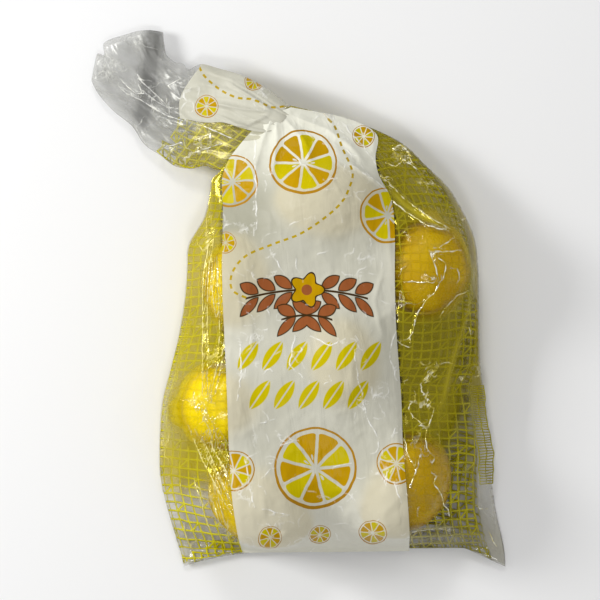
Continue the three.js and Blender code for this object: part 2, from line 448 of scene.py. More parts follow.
# The band's own edges, from the weld to the gather; past row 8 its left edge is the shoulder's fold.
BAND_ROWS = [
    ((-35, -152.5), (66, -151.5)),
    ((-40, -118), (63.5, -119)),
    ((-42, -88), (61, -88)),
    ((-43, -58), (60, -58)),
    ((-45, -18), (57, -18)),
    ((-46, 12), (56, 12)),
    ((-46, 38), (56, 43)),
    ((-46, 58), (54, 60)),
    ((-46.5, 72), (47, 74)),
    ((-43, 83), (45, 85)),
    ((-36, 92.5), (45.5, 99.5)),
    ((-28.5, 101), (27, 109)),
    ((-19.5, 109), (-5.5, 115)),
]
band_left = np.array([row[0] for row in BAND_ROWS])
band_right = np.array([row[1] for row in BAND_ROWS])


def under_band(x, y, margin):
    """True where the opaque band covers the body by at least the margin."""
    left = np.interp(y, band_left[:, 1], band_left[:, 0]) + margin
    right = np.interp(y, band_right[:, 1], band_right[:, 0]) - margin
    return (x > left) & (x < right)


noise.seed_set(NET_SEED)  # else the cloth is warped in another way each time


def net_cloth(wide, long, cell_wide, cell_long, lay, keep):
    """Wide by long millimetres of flat net, with only those cells whose place on the tube is kept."""
    bm = bmesh.new()
    columns, rows = round(wide / cell_wide), round(long / cell_long)
    bmesh.ops.create_grid(bm, x_segments=columns, y_segments=rows, size=0.5)
    bmesh.ops.scale(bm, vec=(wide, long, 1), verts=bm.verts)
    for v in bm.verts:
        v.co += 3.2 * noise.noise_vector(v.co / 38) + 0.9 * noise.noise_vector(v.co / 5)
        v.co.z = 0
    centres = np.array([face.calc_center_median() for face in bm.faces])
    kept = keep(*lay(centres[:, 0], centres[:, 1]))
    gone = [face for face, stays in zip(bm.faces, kept) if not stays]
    bmesh.ops.delete(bm, geom=gone, context="FACES")
    open_cells = cell_long > FOLDED_CELL_LONG
    slanted = [face for k, face in enumerate(bm.faces) if open_cells and k % SLANT_EVERY == 0]
    bmesh.ops.triangulate(bm, faces=slanted, quad_method="FIXED")
    thick = min(STRAND, cell_long * 0.45)
    bmesh.ops.wireframe(
        bm, faces=bm.faces, thickness=thick, use_replace=True, use_boundary=True, use_even_offset=True
    )
    return bm


strand, shade, surface = new_material("net_strand", {"Specular IOR Level": 0.1})
place = shade.node("TexCoord", out="Object")
press = shade.node("Attribute", {"attribute_name": "press"}, out="Fac")
painted_left_light = shade.node("SeparateXYZ", {}, {0: place}, out="X").over(0.03, -0.06)
streak = shade.node("TexNoise", {}, {"Vector": place, "Scale": 90, "Detail": 3})
grain = shade.node("TexNoise", {}, {"Vector": place, "Scale": 1400, "Detail": 2})
# Painted light and shade: strands are coloured brighter on the left, where the light falls, and dimmer on the
# right.
painted_shade_strand = streak.over(0.35, 0.65).mix(rgb(172, 162, 8), rgb(194, 183, 12))
colour = painted_left_light.mix(painted_shade_strand, streak.over(0.35, 0.65).mix(rgb(210, 200, 0), rgb(228, 218, 6)))
colour = press.mix(colour, rgb(206, 176, 0))
bumps = shade.node("Bump", {}, {"Strength": 0.3, "Distance": 0.0002, "Height": grain})
rough = streak.over(0.2, 0.8) * 0.2 + 0.35
feed(surface, Base_Color=colour, Roughness=rough, Normal=bumps, Alpha=0.82 - press * 0.74)


def net_piece(name, cloth, lay, keep, height):
    """Lays a net: from the cloth to its place across and along the tube, then to a height there."""
    bm = net_cloth(*cloth, lay, keep)
    flat = np.array([v.co for v in bm.verts])
    place = height(*lay(flat[:, 0], flat[:, 1]))
    off_lemon = np.abs(place[:, 2] + NET_UNDER_FILM - lemon_tops(place[:, 0], place[:, 1]))
    pressed = np.exp(-off_lemon / PRESS_FADE)
    place[:, 2] += 0.6 * flat[:, 2]
    press_layer = bm.verts.layers.float.new("press")
    for v, spot, press in zip(bm.verts, place, pressed):
        v.co = spot
        v[press_layer] = press
    finish_piece(name, bm, strand)


# Steps up the body, the right edge's place there, and how many millimetres of cloth lie up to there.
way_along = np.linspace(0, 1, 200)
left_edge, right_edge = (body_plan(k + 0 * way_along, way_along) for k in (0, 1))
right_side = right_edge[:, 1]
left_run, right_run = (
    np.cumsum(np.linalg.norm(np.diff(edge, axis=0), axis=1)) for edge in (left_edge, right_edge)
)
body_run = np.concatenate([[0], (left_run + right_run) / 2])
# The bare film between the net's hem and the tube's right edge, at places up that edge.
HEM_PLACES = [-161, -150, -128, -112, -52, -40, 0, 8, 70, 78]
HEM_GAPS = [8, 9.5, 10, 8.5, 8, 1, 1, 4.5, 4.5, 1]


def right_hem(along):
    """How far across the net reaches: short of the film's right edge by some millimetres."""
    gap = np.interp(np.interp(along, way_along, right_side), HEM_PLACES, HEM_GAPS)
    return 1 - gap / TUBE_WIDTH


CLOTH_WIDTH = 200  # millimetres of net from one edge of the tube to the other


def body_lay(turn, bunch):
    """Cloth to body: turned a little, bunched up sideways and crowded at the tube's two edges."""

    def lay(x, y):
        across = (x * math.cos(turn) + y * math.sin(turn)) / CLOTH_WIDTH + 0.5
        run = y * math.cos(turn) - x * math.sin(turn) + body_run[-1] / 2
        along = np.where(run < 0, -0.01, np.interp(run, body_run, way_along))
        crowded = 0.02 * np.exp(-np.maximum(0, np.abs(across - 0.5) - 0.48) / 0.02)
        across = np.where(across < 0.02, crowded, np.where(across > 0.98, 1 - crowded, across))
        return (across + bunch * np.sin(math.tau * across)) * right_hem(along), along

    return lay


def off_rim(across, along):
    """0 on the welded rim of the body, where both sheets meet, and 1 a few millimetres inside it."""
    return smooth(np.minimum.reduce([across, 1 - across, along * 1.3, (1 - along) * 1.3]) / 0.02)


def body_height(raster, depth):
    """Lays net along a sheet of the body, that far over it, and down to the weld with it at the rim."""

    def height(across, along):
        along = np.maximum(along, 0.012 + 0.01 * np.sin(across * 110))
        point = body_plan(across, along)
        inside = off_rim(across, along)
        sheet = sample(raster, point[:, 0], point[:, 1]) + depth
        point[:, 2] = sheet * inside + point[:, 2] * (1 - inside)
        return point

    return height


def front_shows(across, along):
    """The front net stops a little under the band's edges, and short of the gather."""
    point = body_plan(across, along)
    hemmed = (across > 0.003) & (across < right_hem(along) - 0.001)
    return ~under_band(point[:, 0], point[:, 1], 5) & hemmed & (along > -0.02) & (along < 0.97)


def back_shows(across, along):
    """The back net has slipped off the left edge, where only the sheet's tint shows, painted bounce light."""
    slipped = 0.2 - 0.2 * smooth((0.1 - along) / 0.08)
    hemmed = (across > slipped) & (across < right_hem(along) - 0.001)
    return hemmed & (along > -0.01) & (along < 0.94)


net_piece(
    "net_front", (200, 320, CELL_WIDE, CELL_LONG), body_lay(0.02, -0.02), front_shows,
    body_height(front_raster, -NET_UNDER_FILM),
)
net_piece(
    "net_back", (270, 350, CELL_WIDE, CELL_LONG), body_lay(0.17, -0.03), back_shows,
    body_height(back_raster, NET_UNDER_FILM),
)


# Where the net is folded together at the edges: its middle across, its width, foot and length.
NET_FOLDS = {
    "net_fold_left": (0.018, 4.5, -80, 70),
    "net_fold_right": (0.974, 8.4, -108, 60),
}


def folded_lay(across, low, long):
    """Cloth to a strip of the body that runs up along one of its edges, from low on."""

    def lay(x, y):
        start = np.interp(low, left_edge[:, 1], body_run)
        return across + x / TUBE_WIDTH, np.interp(start + long / 2 + y, body_run, way_along)

    return lay


def all_shows(across, along):
    """A folded strip of net is whole."""
    return np.ones(across.shape, bool)


for name, (across, wide, low, long) in NET_FOLDS.items():
    net_piece(
        name, (wide, long, FOLDED_CELL_WIDE, FOLDED_CELL_LONG), folded_lay(across, low, long), all_shows,
        body_height(front_raster, -FOLD_UNDER_FILM),
    )


TAIL_CLOTH_WIDTH = 80
TAIL_CLOTH_LENGTH = 110


def tail_lay(turn):
    """Cloth to tail: more turned, and drawn together towards the gather."""

    def lay(x, y):
        across = (x * math.cos(turn) + y * math.sin(turn)) / TAIL_CLOTH_WIDTH + 0.5
        along = (y * math.cos(turn) - x * math.sin(turn)) / TAIL_CLOTH_LENGTH + 0.5
        return np.clip(across, 0.005, 0.995), np.clip(along, 0, 1)

    return lay


def tail_net_shows(across, along):
    """On the tail the net reaches no further than its ragged end, below the band."""
    ragged = 0.535 + 0.02 * np.sin(across * 60) - 0.16 * across
    return (along < ragged) & (across > 0.005) & (across < 0.6)


for name, sheet, turn in (("net_tail_front", 0, 0.3), ("net_tail_back", 1, -0.2)):

    def tail_height(across, along):
        point = tail_plan(across, along)
        point[:, 2] = tail_heights(across, along, point[:, 2])[sheet] + NET_UNDER_FILM * (2 * sheet - 1)
        return point

    net_piece(name, (100, 120, CELL_WIDE, CELL_LONG), tail_lay(turn), tail_net_shows, tail_height)

# ---- Film --------------------------------------------------------------------------------------
# The tube itself: thin clear polyethylene, glossy and a little grey, full of sharp creases. The body
# is one closed shell of two sheets, welded flat at the bottom, and the tail is a second one that runs
# out from under the shoulder, where the neck is drawn together.

# Its longest creases, as polylines in the plan.
FLAP_LOW = [(51, 62), (63, 52.5), (76, 44), (88, 41)]  # the doubled flap by the upper right lemon
FLAP_HIGH = [(47, 75), (63.5, 59), (73.5, 51.5), (89, 42)]
STRIP = [(89, 47), (98, 32), (103, 17), (101.5, 3), (98, -14), (93.5, -29), (90, -40), (85.5, -60), (81, -77)]
DOWN = [(82.5, 9.5), (80.5, 5.5), (73.5, -1.5), (70.5, -6.5), (68, -12), (66.5, -19), (65, -22), (66, -26)]
FALL = [
    (77.5, -102.5), (80.5, -104), (79, -108), (81.5, -112), (83.5, -114.5), (84.5, -119), (86, -122.5),
    (88.5, -125.5), (90, -130.5),
]
DIAGONALS = [  # the pleats that run down to the band's lower left
    [(-65, -78), (-60.5, -89), (-57, -97), (-52.5, -105), (-48, -113.5), (-44.5, -120.5), (-40, -127)],
    [(-59, -79), (-53.5, -91), (-48.5, -102), (-43.5, -112.5), (-40, -121)],
    [(-59.5, -62), (-56.5, -70.5), (-53, -78), (-51.5, -88), (-46, -97), (-41, -107)],
    [(-50.5, -78), (-45.5, -86), (-41, -95)],
    [(-54, -111), (-51.5, -120), (-48.5, -130), (-47, -136)],
]
UPRIGHTS = [  # and those beside its upper left
    [(-54, 41), (-55, 28), (-57.5, 15), (-58, -12), (-58, -30), (-58, -41), (-57.5, -56), (-55, -60)],
    [(-52, 24), (-52, 7), (-50, -10)],
    [(-48.5, 24), (-48.5, 7), (-47.5, -18), (-48, -26), (-49.5, -39), (-51, -48), (-53, -57)],
    [(-56, 49), (-56, 32)],
]
# What stands up as a broad ridge, with the relief and half width of that ridge.
FOLDS = [
    (FLAP_HIGH, 1.6, 1.8),
    (FLAP_LOW, 1.3, 1.5),
    (STRIP, 1.5, 3.5),
    (DOWN, 1.1, 1.5),
    (FALL, 1.2, 1.6),
    *((points, 1.4, 1.8) for points in DIAGONALS),
    *((points, 1.3, 2.2) for points in UPRIGHTS),
]
HAZED = [  # where the front sheet lies double: a strip, how milky it is and its half width
    ([(50, 69), (63, 55.5), (75, 48), (88, 41)], 0.7, 4),
    (STRIP, 0.6, 3),
    ([(103, -29), (102, -40), (103.5, -62), (102, -77), (108, -85)], 0.35, 3),
    ([(96, 70), (104, 42), (105, 20), (105, -6)], 0.5, 4),
    ([(115, -96), (117, -120), (120, -140), (124, -158), (128, -190)], 0.7, 16),
    ([(-85, -110), (-80, -126), (-74, -146)], 0.5, 3),
    ([(62, -136), (78, -135.5), (95, -136.5)], 0.6, 2.2),
    ([(20, -143), (60, -143), (96, -144), (140, -150)], 0.4, 9),
    ([(-80, -72), (-76, -100), (-72, -130)], 0.2, 5),
]
# A long milky strip down the right side, where less of the net's colour comes through.
GREYED = [(50, 108), (60, 94), (78, 78), (94, 54), (104, 28), (103, 0), (99, -40), (101, -80), (108, -130)]
HAZED_BACK = [  # the doubled strips of the back sheet
    (GREYED, 0.7, 11),
    ([(92, -50), (96, -90), (100, -130), (104, -210)], 1.2, 24),
    ([(-140, -150), (180, -150)], 1.0, 34),
]
SPARKS = [  # sharp creases painted as white highlights, each with its strength
    (FLAP_LOW, 0.9),
    (FLAP_HIGH, 0.6),
    ([(76, 29.5), (79.5, 21.5), (80.5, 16.5), (82.5, 11)], 0.9),
    ([(79, 31), (82, 30.5), (91.5, 37)], 0.8),
    ([(78, 29), (84.5, 28.5), (95.5, 29.5)], 0.8),
    ([(76, 29.5), (86, 21.5), (86, 18), (84.5, 13), (82.5, 10.5)], 1.0),
    ([(73.5, 15), (82.5, 10.5)], 0.8),
    ([(61, 10.5), (68, 10.5), (82.5, 10.5)], 0.7),
    (DOWN, 1.3),
    ([(100.5, 6), (94, 3), (86, -5), (83, -10)], 0.6),
    ([(57.5, -5.5), (63, -2), (68.5, -3), (73, -0.5)], 0.5),
    ([(68, 71), (72, 70)], 1.2),
    ([(56, 90.5), (60.5, 93), (64.5, 88), (68, 81)], 1.6),
    ([(62, 93.5), (67, 85.5)], 1.6),
    ([(51, 82), (57, 80), (62, 84), (70, 78)], 1.4),
    ([(57.5, -23.5), (60, -26), (64.5, -28), (67, -27.5)], 0.9),
    ([(82, -37.5), (80, -42), (76.5, -45), (75.5, -47), (77, -48.5), (73.5, -49.5)], 1.0),
    ([(84.5, -42.5), (84, -44.5)], 0.9),
    ([(71.5, -49.5), (72.5, -54), (75, -56.5), (76, -59.5), (79, -61.5), (75, -63), (71.5, -64.5)], 1.2),
    ([(71.5, -64.5), (70.5, -61.5), (68, -60), (69, -55)], 1.1),
    ([(68, -60), (65.5, -61.5), (64.5, -65), (67, -69.5), (72, -73), (75.5, -73)], 1.2),
    ([(80, -64.5), (78, -69.5), (76.5, -73.5), (75, -78), (74.5, -82), (75.5, -87.5), (78, -91.5)], 0.9),
    ([(79, -91.5), (80, -93.5), (78, -97), (77.5, -95)], 0.8),
    ([(61.5, -82), (62.5, -86), (62.5, -89), (67, -96.5), (69, -100.5), (66.5, -104.5), (65, -111)], 1.2),
    ([(71.5, -88.5), (70.5, -94.5), (69, -100.5)], 0.9),
    (FALL, 1.2),
    ([(61, -48), (64.5, -47)], 0.9),
    ([(94.5, -45), (97.5, -46), (96.5, -48), (94.5, -45)], 0.8),
    ([(113.5, -139), (116, -145), (119, -149)], 0.7),
    ([(62, -137.5), (78, -137), (95, -138)], 0.5),
    ([(-63, -111.5), (-59, -117), (-58, -124.5), (-56, -131.5), (-53.5, -139.5)], 0.9),
    ([(-70, -131.5), (-69, -140.5), (-66, -148), (-64, -154)], 0.7),
    ([(-47, -141.5), (-42.5, -143.5)], 1.0),
    ([(-60.5, -89), (-58, -96), (-56, -98)], 1.2),
    ([(-62.5, -82), (-66.5, -74)], 0.8),
    ([(-63, -53), (-63, -58), (-61.5, -64)], 0.8),
    ([(-72, -106), (-71.5, -113.5)], 0.7),
]
CRINKLED = [  # centre, reach and how many: where the film is crushed
    ((72, -60), 5, 8),
    ((62, 88), 6, 14),
    ((74, 70), 5, 8),
    ((48, 70), 4, 6),
    ((78, -40), 6, 8),
    ((-53, -33), 5, 14),
    ((-49, -39), 3, 6),
    ((-56, -64), 6, 10),
    ((-81, -86), 4, 8),
    ((-58, -118), 5, 10),
    ((-46, -139), 4, 8),
    ((106, -40), 5, 6),
    ((66, -84), 4, 5),
]


def wander(points, step, wiggle, rng):
    """A creased line: the given points with small kinks every step millimetres."""
    out = []
    for (ax, ay), (bx, by) in zip(points, points[1:]):
        length = math.hypot(bx - ax, by - ay)
        count = max(1, round(length / step))
        for k in range(count):
            f = k / count
            off = rng.uniform(-wiggle, wiggle)
            x = ax + (bx - ax) * f - (by - ay) / length * off
            y = ay + (by - ay) * f + (bx - ax) / length * off
            out.append((x, y))
    out.append(points[-1])
    return out


def crush(centre, reach, count, rng):
    """Short kinked lines round one spot, where film has been crushed together."""
    lines = []
    for _ in range(count):
        turn = rng.uniform(0, math.tau)
        away = rng.uniform(0, reach)
        x, y = centre[0] + away * math.cos(turn), centre[1] + away * math.sin(turn)
        heading = rng.uniform(0, math.tau)
        line = [(x, y)]
        for _ in range(rng.randint(2, 4)):
            heading += rng.uniform(-1.1, 1.1)
            x += rng.uniform(1.5, 4) * math.cos(heading)
            y += rng.uniform(1.5, 4) * math.sin(heading)
            line.append((x, y))
        lines.append((line, rng.uniform(0.3, 0.8)))
    return lines


def crease_field(x, y, lines):
    """For each point, the signed distance to the nearest crease line and how strong that line is."""
    side = np.full(x.shape, 9.0)  # wider than any crease is drawn
    strength = np.zeros(x.shape)
    for line, power in lines:
        line = np.array(line)
        low, high = line.min(0) - 3, line.max(0) + 3
        near = np.flatnonzero((x > low[0]) & (x < high[0]) & (y > low[1]) & (y < high[1]))
        if not len(near):
            continue
        px, py = x[near], y[near]
        for k, ((ax, ay), (bx, by)) in enumerate(zip(line, line[1:])):
            length = math.hypot(bx - ax, by - ay) or 1e-6
            f = ((px - ax) * (bx - ax) + (py - ay) * (by - ay)) / length**2
            beside = ((px - ax) * (by - ay) - (py - ay) * (bx - ax)) / length
            on_line = (f > -0.15) & (f < 1.15) & (np.abs(beside) < np.abs(side[near]))
            end_fade = min(1, (k + 1) / 2, (len(line) - 1 - k) / 2)
            spots = near[on_line]
            side[spots] = beside[on_line]
            strength[spots] = power * end_fade * (1 - smooth((np.abs(beside[on_line]) - 1.0) / 0.7))
    return side, strength


def fold_relief(x, y, folds):
    """Height that the broad folds add at a plan point."""
    relief = np.zeros(x.shape)
    for points, height, half in folds:
        count = len(points) - 1
        best = np.full(x.shape, CLEAR)
        fade = np.zeros(x.shape)
        for k, ((ax, ay), (bx, by)) in enumerate(zip(points, points[1:])):
            length = math.hypot(bx - ax, by - ay)
            f = np.clip(((x - ax) * (bx - ax) + (y - ay) * (by - ay)) / length**2, 0, 1)
            away = np.hypot(x - ax - f * (bx - ax), y - ay - f * (by - ay))
            nearer = away < best
            best = np.where(nearer, away, best)
            share = (k + f) / count
            fade = np.where(nearer, smooth(share * 5) * smooth((1 - share) * 5), fade)
        relief += height * fade * np.maximum(0, 1 - best / half) ** 1.5
    return relief


def strip_strength(x, y, strips):
    """How strong the strips are at a plan point: milky where film lies double, dark as painted shade on the
    tail.
    """
    return np.minimum(1.6, 1.6 * fold_relief(x, y, strips))


def crumple(x, y, size, seed):
    """Random sharp-ridged relief, about 0 to 1, with facets of that size."""
    out = np.empty(x.shape)
    for k, (px, py) in enumerate(zip(x.ravel() / size, y.ravel() / size)):
        spot = Vector((px, py, seed))
        spot += 0.35 * Vector((noise.noise(spot * 2.1), noise.noise(spot * 2.1 + Vector((5, 5, 5))), 0))
        out.ravel()[k] = 1 - min(1, 2.2 * abs(noise.noise(spot)))
    return out


PLEAT_PITCH = 2.9  # the pleats lie two by two, that far apart
STRAY_CREASES = 70
rng = random.Random(7)
film_lines = [(wander(points, 2.5, 0.45, rng), power) for points, power in SPARKS]
for points in DIAGONALS + UPRIGHTS:
    for aside in (0, PLEAT_PITCH):
        pleat = [(x + aside, y + aside / 2) for x, y in points]
        film_lines.append((wander(pleat, 7, 0.2, rng), 1 - 0.1 * aside))
for centre, reach, count in CRINKLED:
    film_lines += crush(centre, reach, count, rng)
for _ in range(STRAY_CREASES):
    film_lines += crush((rng.uniform(-85, 118), rng.uniform(-150, 100)), 1, 1, rng)


def film_material(name, turn, stretch, ridge_height, veil, dull, shine, crease_highlight, haze_and_shade_colour):
    """Clear film, mirroring by its shine: milky by its veil, tinted yellow by net behind it, a tint that
    also paints bounce light and shade, and creased, the creases painted as white highlights. Its strips
    are milky on the body and dark, as painted shade, on the tail.

    Its web of fine ridges is turned and stretched along one way.
    """
    material, shade, surface = new_material(name, {"IOR": 1.5})
    material.surface_render_method = "DITHERED"
    place = shade.node("TexCoord", out="Object")
    painted_left_light = shade.node("SeparateXYZ", {}, {0: place}, out="X").over(0.03, -0.06)
    to_weld = shade.node("SeparateXYZ", {}, {0: place}, out="Y").over(-0.096, -0.112)
    sized = {"Rotation": (0, 0, turn), "Scale": (1, 1 / stretch, 1)}
    drawn = shade.node("Mapping", {"vector_type": "TEXTURE"}, {"Vector": place, **sized})
    side = shade.node("Attribute", {"attribute_name": "crease_side"}, out="Fac")
    strength = shade.node("Attribute", {"attribute_name": "crease_strength"}, out="Fac")
    tint_and_painted_light = shade.node("Attribute", {"attribute_name": "tint_and_painted_light"}, out="Fac")
    haze_and_shade = shade.node("Attribute", {"attribute_name": "haze_and_shade"}, out="Fac")
    spots = shade.node("TexNoise", {}, {"Vector": place, "Scale": 300, "Detail": 2})
    cloud = shade.node("TexNoise", {}, {"Vector": drawn, "Scale": 38, "Detail": 3})
    swirl = shade.node("TexNoise", {}, {"Vector": drawn, "Scale": 60}, out="Color")
    swirl = shade.node("VectorMath", {"operation": "SCALE"}, {0: swirl, "Scale": 0.014})
    warped = shade.node("VectorMath", {"operation": "ADD"}, {0: drawn, 1: swirl})
    web = shade.node("TexVoronoi", {"feature": "DISTANCE_TO_EDGE"}, {"Vector": warped, "Scale": 75})
    fine_web = shade.node("TexVoronoi", {"feature": "DISTANCE_TO_EDGE"}, {"Vector": warped, "Scale": 240})
    # A crease line: raised in the bump and painted as a white highlight.
    width = spots.over(0.3, 0.7) * 0.5 + 0.24
    line = (side.maths("ABSOLUTE") / width).over(1, 0.2)
    line = line * (strength * spots.over(0.2, 0.45)).maths("MINIMUM", 1)
    ridges = web.over(0.14, 0.0) * cloud.over(0.45, 0.7)
    fine_ridges = fine_web.over(0.12, 0.0) * cloud.over(0.5, 0.72)
    relief = line * 0.7 + ridges * ridge_height + fine_ridges * 0.12
    bumps = shade.node("Bump", {}, {"Strength": 0.6, "Distance": 0.0012, "Height": relief})
    # Strips: milky on the body, dark as painted shade on the tail, paler grey towards the weld.
    colour = haze_and_shade.mix((0.5, 0.5, 0.46, 1), to_weld.mix(haze_and_shade_colour, rgb(186, 183, 168)))
    # The net's yellow tint, also painting bounce light and shade: olive on the right, brighter yellow on the
    # left.
    colour = tint_and_painted_light.over(0, 0.3).mix(colour, painted_left_light.mix(rgb(180, 165, 24), rgb(208, 190, 0)))
    # Painted highlights: crease lines are coloured near white, yellower on the left.
    glint = spots.over(0.4, 0.6) * (1 - painted_left_light * 0.7)
    colour = line.mix(colour, glint.mix(crease_highlight, rgb(255, 253, 230)))
    milky = (cloud.over(0.3, 0.7) * 0.6 + 0.7) * (1 - tint_and_painted_light.over(0, 0.2) * 0.5) * veil
    alpha = milky + tint_and_painted_light * 0.78 + line * 0.95 + haze_and_shade * 0.45
    alpha = alpha + ridges * 0.1 + fine_ridges * 0.06
    covered = line.maths("MAXIMUM", haze_and_shade).maths("MAXIMUM", tint_and_painted_light * 1.3)
    feed(
        surface,
        Base_Color=colour,
        Metallic=(1 - covered).maths("MAXIMUM", 0) * shine,
        Alpha=alpha.maths("MINIMUM", 0.95),
        Roughness=cloud.over(0.2, 0.8) * 0.08 + dull,
        Normal=bumps,
    )
    return material


def film_shell(name, columns, rows, sheets, lines, strips, material):
    """A closed shell of two sheets that share their outline, with its creases stored on its points."""
    bm = bmesh.new()
    bmesh.ops.create_grid(bm, x_segments=columns, y_segments=rows, size=0.5)
    copied = bmesh.ops.duplicate(bm, geom=bm.faces[:])["geom"]
    back_faces = [g for g in copied if isinstance(g, bmesh.types.BMFace)]
    bmesh.ops.reverse_faces(bm, faces=back_faces)
    back = {v for g in back_faces for v in g.verts}
    flat = np.array([v.co for v in bm.verts])
    is_back = np.array([v in back for v in bm.verts])
    points, tint_and_painted_light = sheets(flat[:, 0] + 0.5, flat[:, 1] + 0.5, is_back)
    side, strength = crease_field(points[:, 0], points[:, 1], lines)
    side_layer = bm.verts.layers.float.new("crease_side")
    strength_layer = bm.verts.layers.float.new("crease_strength")
    tint_and_painted_light_layer = bm.verts.layers.float.new("tint_and_painted_light")
    haze_and_shade_layer = bm.verts.layers.float.new("haze_and_shade")
    haze_and_shade = np.where(is_back, *(strip_strength(points[:, 0], points[:, 1], strips[sheet]) for sheet in (1, 0)))
    for k, v in enumerate(bm.verts):
        v.co = points[k]
        v[tint_and_painted_light_layer] = tint_and_painted_light[k]
        v[haze_and_shade_layer] = haze_and_shade[k]
        v[side_layer] = side[k]
        v[strength_layer] = 0 if is_back[k] else strength[k]
    bmesh.ops.remove_doubles(bm, verts=bm.verts, dist=1e-4)
    finish_piece(name, bm, material)


def body_sheets(across, along, is_back):
    """The body's front sheet over the lemons, with its folds, its back sheet, and their yellow tint,
    which is the net's colour and painted bounce light and shade.
    """
    point = body_plan(across, along)
    x, y = point[:, 0], point[:, 1]
    rim = off_rim(across, along)
    bare = 1 - under_band(x, y, -1).astype(float)
    relief = fold_relief(x, y, FOLDS) + 0.5 * crumple(x, y, 14, 3.7) + 0.22 * crumple(x, y, 5.5, 8.2)
    front = sample(front_raster, x, y) + rim * bare * relief
    back = sample(back_raster, x, y)
    point[:, 2] = np.where(is_back, back, front) * rim + point[:, 2] * (1 - rim)
    hem = 0.94 + 0.06 * smooth((y + 110) / 6)
    left_lower, right_lower = 12 * smooth(1 - 2 * across), 36 * smooth((across - 0.8) / 0.14)
    low = smooth((y + 116 + left_lower - right_lower) / 34)
    # The tint covers the back sheet and the front sheet off the lemons: the net's colour and painted bounce
    # light over the shade there.
    loose = np.where(is_back, 1, 0.55 * (1 - over_lemons(x, y)) * bare)
    loose = loose * (1 - 0.6 * np.minimum(1, strip_strength(x, y, [(GREYED, 0.8, 11)])))
    return point, loose * smooth((hem - across) / 0.01) * smooth(across / 0.01) * low


body_film = film_material(
    "clear_film", turn=0, stretch=0.6, ridge_height=0.32, veil=0.014, dull=0.07, shine=0.9,
    crease_highlight=rgb(238, 220, 96), haze_and_shade_colour=rgb(186, 179, 116),
)
film_shell("film_body", 176, 240, body_sheets, film_lines, (HAZED, HAZED_BACK), body_film)

STREAKS = [  # long smooth creases from the mouth towards the band
    [(-108.5, 133.5), (-103.5, 128), (-98.5, 124), (-92, 124), (-86, 119), (-79.5, 115.5), (-73, 115)],
    [(-109.5, 129), (-104.5, 124.5), (-96, 120.5), (-86, 114), (-79.5, 110.5), (-70, 107.5)],
    [(-97, 133), (-90.5, 127), (-84.5, 121.5), (-79.5, 116.5)],
    [(-100, 106), (-96, 98.5), (-92, 92.5), (-88, 87)],
    [(-97.5, 156), (-93, 152.5), (-86, 151)],
]
TAIL_FOLDS = [
    *((points, 1.3, 1.6) for points in STREAKS),
    ([(-16, 112), (-30, 122), (-46, 132)], 2.2, 2.4),
    ([(-16, 112), (-34, 114), (-54, 118)], 2.2, 2.4),
    ([(-16, 112), (-32, 104), (-52, 104)], 2.0, 2.4),
]
# Dark strips on the tail's front sheet: painted shade, the first a painted shadow down its upper part.
TAIL_PAINTED_SHADE = [
    ([(-86, 195), (-88.5, 160), (-90, 144), (-91, 132), (-93, 118), (-95, 98)], 1.2, 10),
    ([(-112, 128), (-100, 112), (-92, 100)], 0.35, 7),
    ([(-84, 146), (-76, 132), (-70, 122)], 0.4, 6),
    ([(-92, 126), (-82, 116), (-70, 108)], 0.4, 6),
]
TAIL_SPARKS = [
    *((points, 0.9) for points in STREAKS[:3]),
    (STREAKS[3], 0.5),
    (STREAKS[4], 0.4),
    ([(-72, 133), (-79.5, 129), (-75.5, 124.5)], 0.9),
    ([(-57.5, 104), (-46.5, 99), (-37, 95)], 0.9),
    ([(-66.5, 87.5), (-55, 91), (-46.5, 93.5)], 0.8),
    ([(-55, 101.5), (-53, 92.5)], 0.7),
]
tail_lines = [(wander(points, 3, 0.15, rng), power) for points, power in TAIL_SPARKS]
tail_lines += crush((-114, 138), 5, 16, rng) + crush((-62, 94), 9, 14, rng) + crush((-88, 122), 14, 12, rng)


def tail_relief(x, y, across, along):
    """The tail's folds, and the wrinkles that run along it."""
    return fold_relief(x, y, TAIL_FOLDS) + 1.2 * crumple(70 * across, 36 * along, 9, 9.1)


def tail_sheets(across, along, is_back):
    """The tail's two sheets, tinted up to the net's ragged end: the net behind them, and painted bounce
    light.
    """
    point = tail_plan(across, along)
    x, y = point[:, 0], point[:, 1]
    front, back = tail_heights(across, along, point[:, 2])
    rim = smooth(np.minimum.reduce([across, 1 - across, along, 1 - along]) / 0.04)
    front = front + rim * tail_relief(x, y, across, along)
    point[:, 2] = np.where(is_back, back, front) * rim + point[:, 2] * (1 - rim)
    return point, np.where(is_back, 0.5, 0.15) * smooth((0.5 - 0.16 * across - along) / 0.08)


# The tail's strips take a dark grey: painted shade.
tail_film = film_material(
    "clear_film_tail", turn=-0.45, stretch=3.5, ridge_height=0.12, veil=0.3, dull=0.28, shine=0.45,
    crease_highlight=rgb(226, 226, 222), haze_and_shade_colour=rgb(116, 116, 112),
)
film_shell("film_tail", 80, 120, tail_sheets, tail_lines, (TAIL_PAINTED_SHADE, []), tail_film)

